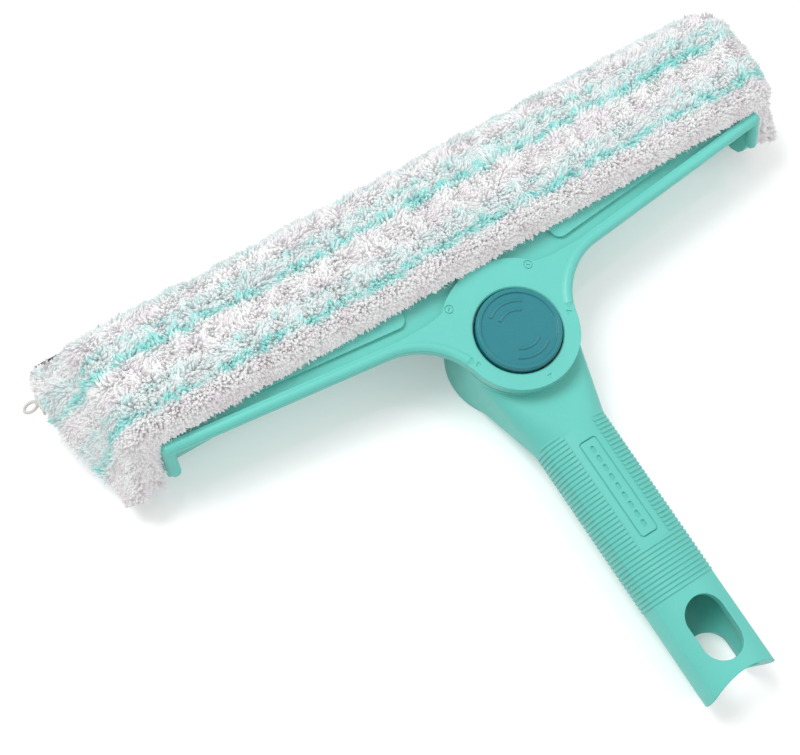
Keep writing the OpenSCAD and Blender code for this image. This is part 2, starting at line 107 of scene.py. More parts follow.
class Body(Enum):
    """The rigid bodies that pieces ride on."""

    HANDLE = "handle"
    HEAD = "head"
    BUTTON = "button"


# ---- materials


class Graph:
    """A material's node tree, put together by short calls."""

    def __init__(self, name: str) -> None:
        """Starts a material that holds one Principled shader and its output.

        Args:
            name: The material's name.
        """
        self.material = bpy.data.materials.new(name)
        self.material.use_nodes = True
        self.tree = self.material.node_tree
        self.tree.nodes.clear()
        self.shader = self.node("BsdfPrincipled")
        self.output = self.node("OutputMaterial")
        self.tree.links.new(self.shader.outputs["BSDF"], self.output.inputs["Surface"])
        self._place: Socket | None = None

    def node(self, kind: str, **settings: object) -> bpy.types.Node:
        """Adds a shader node.

        Args:
            kind: The node's type name without the ShaderNode prefix.
            **settings: Properties set on the node.

        Returns:
            The new node.
        """
        made = self.tree.nodes.new("ShaderNode" + kind)
        for key, value in settings.items():
            setattr(made, key, value)
        return made

    def feed(self, node: bpy.types.Node, socket: str | int, source: object) -> None:
        """Links a socket into an input, or sets the input to a plain value.

        Args:
            node: The node whose input is fed.
            socket: The input's name or number.
            source: An output socket, a number or a colour.
        """
        target = node.inputs[socket]
        if isinstance(source, Socket):
            self.tree.links.new(source, target)
        elif isinstance(source, tuple) and len(source) == 3 and target.type == "RGBA":
            target.default_value = (*source, 1.0)
        else:
            target.default_value = source

    def place(self) -> Socket:
        """The piece's own coordinates, in metres.

        Returns:
            The coordinates' socket, which is made once.
        """
        if self._place is None:
            self._place = self.node("TexCoord").outputs["Object"]
        return self._place

    def stretched(self, scale: tuple[float, float, float]) -> Socket:
        """The piece's own coordinates, scaled along each axis.

        Args:
            scale: Features per metre along X, Y and Z.

        Returns:
            The scaled coordinates.
        """
        mapping = self.node("Mapping")
        self.feed(mapping, "Vector", self.place())
        self.feed(mapping, "Scale", scale)
        return mapping.outputs["Vector"]

    def noise(self, scale: float, detail: float = 3.0, vector: Socket | None = None) -> Socket:
        """Smooth noise from 0 to 1.

        Args:
            scale: Features per metre.
            detail: Number of finer octaves.
            vector: Coordinates to read instead of the piece's own.

        Returns:
            The noise's value socket.
        """
        noise = self.node("TexNoise")
        self.feed(noise, "Vector", vector or self.place())
        self.feed(noise, "Scale", scale)
        self.feed(noise, "Detail", detail)
        return noise.outputs[0]

    def span(
        self, value: Socket, low: float, high: float, start: float = 0.3, end: float = 0.7
    ) -> Socket:
        """Maps one range of values onto another, held at both ends.

        Args:
            value: The value to map.
            low: What the start becomes.
            high: What the end becomes.
            start: Where the first range starts.
            end: Where the first range ends.

        Returns:
            The mapped value.
        """
        ranger = self.node("MapRange")
        for name, source in (
            ("Value", value),
            ("From Min", start),
            ("From Max", end),
            ("To Min", low),
            ("To Max", high),
        ):
            self.feed(ranger, name, source)
        return ranger.outputs[0]

    def blend(self, share: Socket, first: object, second: object) -> Socket:
        """Mixes two colours.

        Args:
            share: How much of the second, from 0 to 1.
            first: The first colour.
            second: The second colour.

        Returns:
            The mixed colour.
        """
        mix = self.node("Mix", data_type="RGBA")
        self.feed(mix, 0, share)
        self.feed(mix, 6, first)
        self.feed(mix, 7, second)
        return mix.outputs[2]

    def dimmed(self, tone: Socket, share: object) -> Socket:
        """Scales a colour by a share, which is a socket or a number.

        Args:
            tone: The colour.
            share: How much of it is kept.

        Returns:
            The scaled colour.
        """
        scale = self.node("VectorMath", operation="SCALE")
        self.feed(scale, 0, tone)
        self.feed(scale, "Scale", share)
        return scale.outputs[0]

    def bump(
        self,
        height: Socket,
        depth: float,
        strength: float = 1.0,
        normal: Socket | None = None,
    ) -> Socket:
        """Raises the surface by a height map.

        Args:
            height: Height from 0 to 1.
            depth: How far 1 stands out, in metres.
            strength: How much of the bump is used.
            normal: A normal to start from.

        Returns:
            The bumped normal.
        """
        bump = self.node("Bump")
        self.feed(bump, "Height", height)
        self.feed(bump, "Distance", depth)
        self.feed(bump, "Strength", strength)
        if normal is not None:
            self.feed(bump, "Normal", normal)
        return bump.outputs[0]

    def soft_edges(self, radius: float) -> Socket:
        """A normal that rounds the piece's edges.

        Args:
            radius: How round the edges look, in metres.

        Returns:
            The rounded normal.
        """
        bevel = self.node("Bevel", samples=6)
        self.feed(bevel, "Radius", radius)
        return bevel.outputs[0]

    def edge_share(self, rounded: Socket) -> Socket:
        """How close a point is to an edge, from the angle between two normals.

        Args:
            rounded: The normal with its edges rounded.

        Returns:
            A share from 0 on a face to 1 at an edge.
        """
        true_normal = self.node("NewGeometry").outputs["Normal"]
        dot = self.node("VectorMath", operation="DOT_PRODUCT")
        self.feed(dot, 0, rounded)
        self.feed(dot, 1, true_normal)
        return self.span(dot.outputs["Value"], 1.0, 0.0, 0.86, 0.995)

    def mix_in(self, surface: Socket, share: float) -> None:
        """Mixes a second surface shader over the first.

        Args:
            surface: The second shader.
            share: How much of it, from 0 to 1.
        """
        mix = self.node("MixShader")
        self.feed(mix, 0, share)
        self.feed(mix, 1, self.shader.outputs["BSDF"])
        self.feed(mix, 2, surface)
        self.tree.links.new(mix.outputs[0], self.output.inputs["Surface"])

    def finish(self, **sockets: object) -> Material:
        """Feeds the shader's inputs and hands the material over.

        Args:
            **sockets: A value or a socket for each input, named with underscores.

        Returns:
            The material.
        """
        for name, source in sockets.items():
            title = name.replace("_", " ").title().replace("Ior", "IOR")
            self.feed(self.shader, title, source)
        return self.material


@dataclass(frozen=True)
class MouldedPlastic:
    """Injection-moulded plastic with a fine spark grain and softened edges."""

    name: str
    colour: Colour
    roughness: float = 0.42
    grain: float = 0.012 * MM
    edge: float = 0.55 * MM
    clear: float = 0.0

    def material(self) -> Material:
        """Builds the finish: cloudy colour, worn edges, grain bump and a soft gloss.

        Returns:
            The material.
        """
        graph = Graph(self.name)
        rounded = graph.soft_edges(self.edge)
        cloud = graph.span(graph.noise(16.0, 2.0), 0.0, 1.0)
        body = graph.blend(cloud, shade(self.colour, 0.955), shade(self.colour, 1.03))
        flecks = graph.span(graph.noise(900.0, 2.0), 0.0, 0.10, 0.5, 0.75)
        body = graph.blend(flecks, body, shade(self.colour, 1.25))
        wear = graph.edge_share(rounded)
        worn = graph.blend(graph.span(wear, 0.0, 0.35, 0.0, 1.0), body, shade(self.colour, 1.35))
        normal = graph.bump(graph.noise(3200.0, 2.0), self.grain, 0.6, rounded)
        gloss = graph.span(graph.noise(140.0, 4.0), self.roughness - 0.05, self.roughness + 0.07)
        return graph.finish(
            base_color=worn,
            roughness=gloss,
            normal=normal,
            ior=1.49,
            coat_weight=self.clear,
            coat_roughness=0.18,
        )


@dataclass(frozen=True)
class Metal:
    """Metal with fine lines drawn along one axis."""

    name: str
    colour: Colour
    roughness: float = 0.32
    lines: Axis = Axis.ALONG_X
    edge: float = 0.15 * MM

    def material(self) -> Material:
        """Builds the finish: drawn lines in the gloss and the height, and a few dull marks.

        Returns:
            The material.
        """
        graph = Graph(self.name)
        scale = [2600.0, 2600.0, 2600.0]
        scale[self.lines.value] = 22.0
        lines = graph.noise(1.0, 4.0, graph.stretched(tuple(scale)))
        marks = graph.span(graph.noise(60.0, 5.0), 0.0, 1.0, 0.45, 0.8)
        streaks = graph.span(lines, 0.0, 1.0)
        tone = graph.blend(streaks, shade(self.colour, 0.86), shade(self.colour, 1.06))
        tone = graph.blend(graph.span(marks, 0.0, 0.3, 0.0, 1.0), tone, shade(self.colour, 0.7))
        normal = graph.bump(lines, 0.01 * MM, 0.5, graph.soft_edges(self.edge))
        gloss = graph.span(lines, self.roughness - 0.08, self.roughness + 0.12)
        return graph.finish(base_color=tone, metallic=1.0, roughness=gloss, normal=normal)


@dataclass(frozen=True)
class Rubber:
    """Dark natural rubber with a dusty bloom."""

    name: str
    colour: Colour

    def material(self) -> Material:
        """Builds the finish: patchy bloom over a dull black.

        Returns:
            The material.
        """
        graph = Graph(self.name)
        bloom = graph.span(graph.noise(220.0, 5.0), 0.0, 1.0, 0.35, 0.8)
        tone = graph.blend(bloom, self.colour, shade(self.colour, 2.2))
        normal = graph.bump(graph.noise(1500.0, 3.0), 0.02 * MM, 0.6, graph.soft_edges(0.15 * MM))
        gloss = graph.span(bloom, 0.5, 0.75, 0.0, 1.0)
        return graph.finish(base_color=tone, roughness=gloss, normal=normal)


@dataclass(frozen=True)
class Textile:
    """Woven tape or backing cloth, with threads over and under each other."""

    name: str
    colour: Colour
    pitch: float = 0.6 * MM

    def material(self) -> Material:
        """Builds the finish: two crossed wave patterns for the threads, and fuzz.

        Returns:
            The material.
        """
        graph = Graph(self.name)
        threads = []
        for direction in ("X", "Y"):
            wave = graph.node("TexWave", bands_direction=direction)
            graph.feed(wave, "Vector", graph.place())
            graph.feed(wave, "Scale", 0.314 / self.pitch)
            graph.feed(wave, "Distortion", 0.8)
            threads.append(wave.outputs[1])
        weave = graph.node("Math", operation="MULTIPLY")
        graph.feed(weave, 0, threads[0])
        graph.feed(weave, 1, threads[1])
        tone = graph.blend(weave.outputs[0], shade(self.colour, 0.72), shade(self.colour, 1.06))
        tone = graph.blend(graph.span(graph.noise(700.0, 3.0), 0.0, 0.3), tone, shade(self.colour, 0.8))
        normal = graph.bump(weave.outputs[0], 0.12 * MM)
        return graph.finish(
            base_color=tone, roughness=0.9, normal=normal, sheen_weight=0.3, sheen_roughness=0.5
        )


@dataclass(frozen=True)
class PileYarn:
    """Fluffy microfibre yarn, with painted shade towards each tuft's root and in pinkish-grey mottles,
    tinted tuft by tuft.
    """

    name: str
    # The root colours and the pinkish-grey mottle colour are painted shade for the shade between tufts; the
    # tip colours are the yarn's own.
    root: Colour
    tip: Colour
    mottle_shade: Colour
    tint_root: Colour
    tint_tip: Colour
    through: float = 0.15
    # Painted glow: its strength, and the share of base colour kept under it.
    scatter: float = 0.64
    dimmed_for_glow: float = 0.8

    def material(self) -> Material:
        """Builds the finish: painted shade from root to tip and in mottled patches, each tuft's tint, sheen
        and light let through.

        Each tuft stands for a bundle of hairs, so it is lit along a softened normal,
        and a little glow stands for the light that hairs pass on to each other.

        Returns:
            The material.
        """
        graph = Graph(self.name)
        along = graph.node("Attribute", attribute_name="along").outputs["Fac"]
        tint = graph.node("Attribute", attribute_name="tint").outputs["Fac"]
        # Painted shade: each tuft darkens from tip to root, and noise patches darken the tips to pinkish
        # grey, standing in for shade between tufts.
        rise = graph.span(along, 0.0, 1.0, 0.05, 0.7)
        patch = graph.span(graph.noise(110.0, 3.0), 0.0, 1.0, 0.4, 0.64)
        plain = graph.blend(rise, self.root, graph.blend(patch, self.tip, self.mottle_shade))
        tinted = graph.blend(rise, self.tint_root, self.tint_tip)
        tone = graph.blend(tint, plain, tinted)
        strand = graph.span(graph.noise(1100.0, 1.0), 0.92, 1.0, 0.3, 0.6)
        dim = graph.dimmed(tone, strand)
        # The base colour is dimmed to leave room for the painted glow.
        dimmed_for_glow = graph.dimmed(dim, self.dimmed_for_glow)
        lie = graph.node(
            "VectorTransform", vector_type="NORMAL", convert_from="OBJECT", convert_to="WORLD"
        )
        graph.feed(lie, "Vector", graph.node("Attribute", attribute_name="soft").outputs["Vector"])
        normal = graph.bump(graph.noise(1500.0, 2.0), 0.1 * MM, 0.4, lie.outputs["Vector"])
        # Painted glow: emission stands in for light that the hairs pass on to each other.
        material = graph.finish(
            base_color=dimmed_for_glow, roughness=0.95, sheen_weight=0.2, sheen_roughness=0.5,
            normal=normal, specular_ior_level=0.1,
            emission_color=dim, emission_strength=self.scatter,
        )
        through = graph.node("BsdfTranslucent")
        graph.feed(through, "Color", dim)
        graph.feed(through, "Normal", normal)
        graph.mix_in(through.outputs[0], self.through)
        return material


AQUA = srgb(96, 190, 179)
FRAME_AQUA = srgb(99, 193, 182)
TEAL = srgb(28, 121, 131)


@dataclass(frozen=True)
class Finishes:
    """Every finish on the tool."""

    handle: MouldedPlastic = MouldedPlastic("handle_plastic", AQUA, 0.44)
    frame: MouldedPlastic = MouldedPlastic("frame_plastic", FRAME_AQUA, 0.40)
    button: MouldedPlastic = MouldedPlastic("button_plastic", TEAL, 0.26, 0.004 * MM, 0.4 * MM, 0.4)
    insert: MouldedPlastic = MouldedPlastic("insert_plastic", srgb(45, 120, 128), 0.5)
    nylon: MouldedPlastic = MouldedPlastic("bearing_nylon", srgb(228, 228, 220), 0.45, 0.004 * MM, 0.1 * MM)
    clutch: MouldedPlastic = MouldedPlastic("clutch_nylon", srgb(178, 184, 184), 0.5, 0.01 * MM, 0.2 * MM)
    pressed: Metal = Metal("pressed_steel", srgb(196, 198, 200), 0.34, Axis.ALONG_Y)
    screw: Metal = Metal("zinc_steel", srgb(186, 190, 194), 0.3, Axis.ALONG_Z)
    wire: Metal = Metal("drawn_wire", srgb(160, 163, 166), 0.3, Axis.ALONG_Z)
    rail: Metal = Metal("anodised_rail", srgb(212, 215, 217), 0.3, Axis.ALONG_X)
    rubber: Rubber = Rubber("blade_rubber", srgb(30, 31, 33))
    tape: Textile = Textile("hook_tape", srgb(206, 210, 210), 0.5 * MM)
    thread: Textile = Textile("loop_tape", srgb(232, 232, 228), 0.35 * MM)
    backing: Textile = Textile("sleeve_backing", srgb(222, 226, 224), 0.7 * MM)
    # The first and third yarn colours and the darker tint colour are painted shade between tufts; the
    # others are the yarn's own colours.
    yarn: PileYarn = PileYarn(
        "plush_yarn", srgb(219, 214, 217), srgb(226, 227, 227), srgb(220, 215, 218),
        srgb(104, 190, 186), srgb(138, 210, 205),
    )


def dress(node: str, material: Material) -> None:
    """Gives every material slot of a frame node the same finish.

    Args:
        node: The node's name.
        material: The finish.
    """
    mesh = frame["nodes"][node].data
    if not mesh.materials:
        mesh.materials.append(material)
    for index in range(len(mesh.materials)):
        mesh.materials[index] = material
    LOG.info("dressed %s in %s", node, material.name)


# ---- mesh tools


def new_piece(
    name: str,
    points: Array,
    faces: list[Array],
    material: Material,
    body: Body,
    slot: str,
    smooth: bool = True,
) -> bpy.types.Object:
    """slot: The record's material slot that it stands for. Not used.
        smooth: Whether its faces are smooth shaded.

    Returns:
        The new object.
    """
    mesh = bpy.data.meshes.new(name)
    corners = np.concatenate([f.ravel() for f in faces]).astype(np.int32)
    sizes = np.concatenate([np.full(len(f), f.shape[1], np.int32) for f in faces])
    mesh.vertices.add(len(points))
    mesh.vertices.foreach_set("co", np.ascontiguousarray(points, np.float32).ravel())
    mesh.loops.add(len(corners))
    mesh.loops.foreach_set("vertex_index", corners)
    mesh.polygons.add(len(sizes))
    mesh.polygons.foreach_set("loop_start", np.concatenate([[0], np.cumsum(sizes)[:-1]]).astype(np.int32))
    mesh.polygons.foreach_set("use_smooth", np.full(len(sizes), smooth))
    mesh.update(calc_edges=True)
    mesh.validate()
    mesh.materials.append(material)
    obj = bpy.data.objects.new(name, mesh)
    bpy.context.scene.collection.objects.link(obj)
    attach(obj, body.value)
    LOG.info("built %s: %d faces", name, len(sizes))
    return obj


def grid_faces(rows: int, columns: int, start: int = 0, flip: bool = False) -> Array:
    """Quads between the points of a grid stored row by row.

    Args:
        rows: Points down the grid.
        columns: Points across it.
        start: Number of the grid's first point.
        flip: Whether the faces look the other way.

    Returns:
        One quad per row.
    """
    row, column = np.meshgrid(np.arange(rows - 1), np.arange(columns - 1), indexing="ij")
    first = (start + row * columns + column).ravel()
    quads = np.stack([first, first + columns, first + columns + 1, first + 1], axis=1)
    return quads[:, ::-1] if flip else quads


def unit(vectors: Array) -> Array:
    """Vectors brought to length 1, where they have a length."""
    return vectors / np.maximum(np.linalg.norm(vectors, axis=-1, keepdims=True), TINY)


class LatticeNoise:
    """Smooth random field over two lengths, from a seeded lattice that repeats."""

    SIZE = 256
    FAR_IN = 1000.0

    def __init__(self, seed: int, cell: float) -> None:
        """Draws the lattice.

        Args:
            seed: Seed of the lattice.
            cell: Distance between lattice points.
        """
        self.cell = cell
        self.table = np.random.default_rng(seed).uniform(-1.0, 1.0, (self.SIZE, self.SIZE))

    def corner(self, row: Array, column: Array) -> Array:
        """The lattice's values at whole steps, wrapped around."""
        return self.table[row % self.SIZE, column % self.SIZE]

    def at(self, a: Array, b: Array) -> Array:
        """Reads the field, blending the four nearest values by 3t^2 - 2t^3.

        Args:
            a: The first lengths.
            b: The second lengths.

        Returns:
            Values from -1 to 1.
        """
        u, v = a / self.cell + self.FAR_IN, b / self.cell + self.FAR_IN
        i, j = np.floor(u).astype(int), np.floor(v).astype(int)
        s, t = u - i, v - j
        s, t = s * s * (3 - 2 * s), t * t * (3 - 2 * t)
        low = self.corner(i, j) * (1 - s) + self.corner(i + 1, j) * s
        high = self.corner(i, j + 1) * (1 - s) + self.corner(i + 1, j + 1) * s
        return low * (1 - t) + high * t


# ---- the sleeve


@dataclass(frozen=True)
class SleeveEnd:
    """How the cloth folds over one end of the head.

    half is how far out the fold reaches, fold its radius and drop the flap's length
    below it. lean and lean_low are the flap's outward lean at its upper and lower
    side, corner and corner_low round its two corners, and spread and spread_low are
    how much it widens at each side as it drops.
    """

    half: float
    fold: float
    drop: float
    lean: float
    lean_low: float
    corner: float
    corner_low: float
    spread: float
    spread_low: float = 0.26


@dataclass
class SleeveForm:
    """The cloth of the washer sleeve as a surface over two lengths.

    The first length runs along the head from its middle, and the second across
    it. Both are measured on the cloth, so they fold over the ends and sides.
    """

    left: SleeveEnd = SleeveEnd(156 * MM, 10 * MM, 25 * MM, 0.57, 0.38, 4 * MM, 7 * MM, 0.35)
    right: SleeveEnd = SleeveEnd(154 * MM, 9 * MM, 22 * MM, 0.15, 0.22, 22 * MM, 8 * MM, 0.0)
    middle_y: float = 56.4 * MM
    half_y: float = 23.8 * MM
    low_fold: float = 6.5 * MM
    high_fold: float = 8 * MM
    high_drop: float = 18 * MM
    low_end_drop: float = 22 * MM
    low_flare: float = 0.5
    spread_from: float = 6 * MM
    top: float = 43.2 * MM
    crown: float = 1.6 * MM
    cheek: float = 144.6 * MM
    lump_height: float = 0.7 * MM
    sway_width: float = 1.1 * MM
    notch_at: float = -11 * MM
    notch_width: float = 4 * MM
    notch_depth: float = 3 * MM
    tip_span: tuple[float, float] = (28 * MM, 50 * MM)
    tip_cut: float = 13 * MM
    ragged: float = 0.9 * MM
    step: float = 0.4 * MM
    lumps: LatticeNoise = field(default_factory=lambda: LatticeNoise(3, 13 * MM))
    waves: LatticeNoise = field(default_factory=lambda: LatticeNoise(5, 16 * MM))

    def pick(self, a: Array, name: str) -> Array:
        """The named measure of the end that each length lies towards."""
        return np.where(a < 0, getattr(self.left, name), getattr(self.right, name))

    def length_reach(self, a: Array) -> Array:
        """The cloth's length from its middle to the rim of the end that each length lies towards."""
        fold = self.pick(a, "fold")
        return self.pick(a, "half") - fold + fold * np.pi / 2 + self.pick(a, "drop")

    def low_reach(self, a: Array) -> Array:
        """The cloth's width from its middle to the lower rim, longer past the cheeks.

        Args:
            a: Lengths along the head.

        Returns:
            The width at each length.
        """
        past = smoothstep(self.cheek - 1 * MM, self.cheek + 4 * MM, np.abs(a))
        flat = self.half_y - self.low_fold + self.low_fold * np.pi / 2
        return flat + past * self.low_end_drop

    def high_reach(self) -> float:
        """The cloth's width from its middle to the upper rim."""
        return self.half_y - self.high_fold + self.high_fold * np.pi / 2 + self.high_drop

    @staticmethod
    def fold(length: Array, half: Array, radius: Array, lean: Array) -> tuple[Array, Array]:
        """Carries a length along a flat, a quarter circle and a straight drop.

        Args:
            length: Unsigned lengths on the cloth.
            half: Distance from the middle to the outside of the quarter circle.
            radius: The quarter circle's radius.
            lean: Outward lean of the drop, as the sine of its angle.

        Returns:
            How far out and how far down each point lies.
        """
        over = np.maximum(length - (half - radius), 0.0)
        angle = np.minimum(over / radius, np.pi / 2)
        past = np.maximum(over - radius * np.pi / 2, 0.0)
        out = np.minimum(length, half - radius) + radius * np.sin(angle) + lean * past
        down = radius * (1 - np.cos(angle)) + np.sqrt(1 - np.square(lean)) * past
        return out, down

    def point(self, a: Array, b: Array) -> Array:
        """Places cloth lengths in space.

        Args:
            a: Lengths along the head.
            b: Lengths across it.

        Returns:
            Points, with x, y and z last.
        """
        half = self.pick(a, "half")
        high_share = smoothstep(-14 * MM, 2 * MM, b)
        lean = self.pick(a, "lean_low") * (1 - high_share) + self.pick(a, "lean") * high_share
        x, x_down = self.fold(np.abs(a), half, self.pick(a, "fold"), lean)
        past = smoothstep(self.cheek - 1 * MM, self.cheek + 6 * MM, np.abs(a))
        low = self.fold(np.abs(b), self.half_y, self.low_fold, self.low_flare * past)
        high = self.fold(np.abs(b), self.half_y, self.high_fold, np.zeros_like(b))
        y = np.where(b < 0, low[0], high[0])
        y_down = np.where(b < 0, low[1], high[1])
        # Flaps widen towards their corners as they drop over the cheeks
        spread = np.where(b < 0, self.pick(a, "spread_low"), self.pick(a, "spread"))
        y = y + spread * np.maximum(x_down - self.spread_from, 0.0) * smoothstep(
            0.0, self.half_y, np.abs(b)
        )
        corner = np.where(b < 0, self.pick(a, "corner_low"), self.pick(a, "corner"))
        in_x = np.maximum(x - (np.maximum(x, half) - corner), 0.0) * (x > half - corner)
        in_y = np.maximum(y - (np.maximum(y, self.half_y) - corner), 0.0)
        reach = np.hypot(in_x, in_y)
        pull = np.where(reach > corner, corner / np.maximum(reach, 1e-9), 1.0)
        x = x - in_x + in_x * pull
        y = y - in_y + in_y * pull
        down = (x_down**4 + y_down**4) ** 0.25
        z = self.top - self.crown * np.square(np.minimum(y / self.half_y, 1.0)) - down
        z = z + self.lump_height * self.lumps.at(a, b)
        sway = self.sway_width * self.waves.at(b, a * 0.5) * smoothstep(0, 20 * MM, x_down)
        return np.stack([np.sign(a) * (x + sway), self.middle_y + np.sign(b) * y, z], axis=-1)

    def rim_cut(self, a: Array, b: Array) -> Array:
        """How much shorter the end flap is at each width.

        A bell-shaped notch gives the flap two lobes, a smooth step rounds its lower
        tip, and waves make the rim ragged.

        Args:
            a: Lengths along the head.
            b: Lengths across it.

        Returns:
            How much is cut off.
        """
        notch = np.exp(-np.square((b - self.notch_at) / self.notch_width))
        tip = np.square(smoothstep(*self.tip_span, -b))
        waves = self.waves.at(b * 3, np.sign(a))
        return self.notch_depth * notch + self.tip_cut * tip + self.ragged * waves

    def lengths(self, s: Array, t: Array) -> tuple[Array, Array]:
        """Turns grid shares into cloth lengths.

        Args:
            s: Shares along the head, from -1 to 1.
            t: Shares across it, from -1 to 1.

        Returns:
            Lengths along and across.
        """
        a = s * self.length_reach(s)
        b = np.where(t < 0, t * self.low_reach(a), t * self.high_reach())
        trim = self.rim_cut(a, b) * smoothstep(self.pick(a, "half"), self.length_reach(a), np.abs(a))
        return a - np.sign(a) * trim, b

    def patch(self, a: Array, b: Array, step: float) -> Array:
        """The cross product of two short steps on the cloth, each taken both ways.

        Args:
            a: Lengths along the head.
            b: Lengths across it.
            step: How far the steps go to either side.

        Returns:
            Vectors out of the cloth, as long as the area between the steps.
        """
        along = self.point(a + step, b) - self.point(a - step, b)
        across = self.point(a, b + step) - self.point(a, b - step)
        return np.cross(along, across)

    def normal(self, a: Array, b: Array) -> Array:
        """Outward normals of the cloth, one for each pair of lengths."""
        return unit(self.patch(a, b, self.step))


@dataclass(frozen=True)
class Stripe:
    """A coloured stripe in the pile, and how unevenly it is blotched."""

    middle: float
    width: float
    strength: float
    blotch: float


@dataclass(frozen=True)
class TuftShape:
    """The make of one kind of tuft.

    rings and sides are its mesh's, bush is how much it thickens towards its tip, and
    stray is how far it leans by chance.
    """

    length: float
    radius: float
    spacing: float
    rings: int
    sides: int
    bush: float
    stray: float


LOBE = TuftShape(4.0 * MM, 0.74 * MM, 0.93 * MM, 4, 3, 0.30, 0.17)
FIBRE = TuftShape(4.9 * MM, 0.15 * MM, 1.35 * MM, 3, 3, 0.0, 0.40)


@dataclass
class WasherSleeve:
    """The plush sleeve: its cloth and its pile.

    The plain lower band of the pile is short and even, and the striped face is long
    and clumped. A pair of shares is that of the plain band and what the face adds.
    """

    finishes: Finishes
    form: SleeveForm = field(default_factory=SleeveForm)
    thickness: float = 2.2 * MM
    most_triangles: int = 190000
    grid: tuple[int, int] = (240, 90)
    dash_cell: float = 3.4 * MM
    dash_slant: float = 0.5
    wander_width: float = 0.9 * MM
    wander_pace: float = 0.3
    lane: float = 37 * MM
    dash_lane: float = 91 * MM
    tint_shares: tuple[float, float] = (0.45, 0.9)
    fluffy_span: tuple[float, float] = (-19 * MM, -13 * MM)
    clump_cell: float = 3.6 * MM
    clump_shares: tuple[float, float] = (0.2, 0.55)
    length_shares: tuple[float, float] = (0.74, 0.24)
    length_luck: float = 0.08
    heave_cell: float = 5.0 * MM
    heave_share: float = 0.2
    radius_shares: tuple[float, float] = (0.75, 1.25)
    sink: float = 0.4 * MM
    bend_power: float = 1.7
    tip_power: float = 2.6
    tilt_share: float = 0.5
    roundness: float = 0.32
    stripes: tuple[Stripe, ...] = (
        Stripe(7.6 * MM, 1.9 * MM, 1.15, 0.6),
        Stripe(-13.4 * MM, 1.8 * MM, 1.0, 0.6),
        Stripe(13.6 * MM, 1.8 * MM, 0.46, 0.95),
        Stripe(-7.0 * MM, 1.7 * MM, 0.36, 0.95),
        Stripe(10.4 * MM, 3.6 * MM, 0.22, 0.5),
        Stripe(-10.2 * MM, 3.2 * MM, 0.20, 0.5),
        Stripe(24 * MM, 2.5 * MM, 0.30, 0.8),
        Stripe(36 * MM, 3.0 * MM, 0.25, 0.8),
    )

    def cloth(self) -> bpy.types.Object:
        """Builds the cloth as a closed shell: an outer grid, an inner grid and the rim between.

        Returns:
            The cloth.
        """
        backing = self.finishes.backing.material()
        rows, columns = self.grid
        s, t = np.meshgrid(np.linspace(-1, 1, rows), np.linspace(-1, 1, columns), indexing="ij")
        a, b = self.form.lengths(s, t)
        outer = self.form.point(a, b)
        inner = outer - self.thickness * self.form.normal(a, b)
        count = rows * columns
        numbers = np.arange(count).reshape(rows, columns)
        loop = np.concatenate(
            [numbers[:, 0], numbers[-1, 1:], numbers[-2::-1, -1], numbers[0, -2:0:-1]]
        )
        after = np.roll(loop, -1)
        rim = np.stack([loop, loop + count, after + count, after], axis=1)[:, ::-1]
        points = np.concatenate([outer.reshape(-1, 3), inner.reshape(-1, 3)])
        faces = [grid_faces(rows, columns), grid_faces(rows, columns, count, flip=True), rim]
        piece = new_piece("sleeve_cloth", points, faces, backing, Body.HEAD, "plush_fabric")
        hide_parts("washer_sleeve")
        return piece

    def roots(self, spacing: float, draw: np.random.Generator) -> tuple[Array, Array]:
        """Scatters tuft roots on the cloth, one in each cell of a jittered grid.

        Args:
            spacing: The grid's cell.
            draw: The random source.

        Returns:
            The roots' lengths along and across the cloth.
        """
        ends = np.array([-1.0, 1.0]) * self.form.length_reach(np.array([-1.0, 1.0]))
        a_line = np.arange(ends[0], ends[1], spacing)
        low = -float(self.form.low_reach(ends[1:])[0])
        b_line = np.arange(low, self.form.high_reach(), spacing)
        a, b = (g.ravel() for g in np.meshgrid(a_line, b_line, indexing="ij"))
        a = a + draw.uniform(0, spacing, a.shape)
        b = b + draw.uniform(0, spacing, b.shape)
        inside = (b > -self.form.low_reach(a)) & (b < self.form.high_reach())
        inside &= np.abs(a) < self.form.length_reach(a) - self.form.rim_cut(a, b)
        a, b = a[inside], b[inside]
        # Where the cloth is gathered at a corner, fewer tufts are kept
        step = 0.3 * MM
        area = np.linalg.norm(self.form.patch(a, b, step), axis=-1) / (4 * step * step)
        keep = draw.uniform(0, 1, a.shape) < np.clip(area, 0.0, 1.0)
        return a[keep], b[keep]

    def tint(self, a: Array, b: Array, draw: np.random.Generator) -> Array:
        """How much stripe colour each tuft has.

        Each stripe is a bell curve across the cloth, broken into dashes along the
        head, and each tuft then takes more or less of it by chance.

        Args:
            a: Root lengths along the cloth.
            b: Root lengths across it.
            draw: The random source.

        Returns:
            Shares from 0 to 1.
        """
        dashes = LatticeNoise(31, self.dash_cell)
        share = np.zeros_like(a)
        for number, stripe in enumerate(self.stripes):
            row = np.full_like(a, number * self.lane)
            wander = self.wander_width * dashes.at(a * self.wander_pace, row)
            bell = np.exp(-np.square((b + wander - stripe.middle) / stripe.width))
            dash = 1 + stripe.blotch * dashes.at(a + self.dash_slant * b, row + self.dash_lane)
            share = np.maximum(share, stripe.strength * bell * dash)
        luck = draw.uniform(0.0, 1.0, a.shape)
        least, more = self.tint_shares
        return np.clip(share * (least + more * luck), 0.0, 1.0)

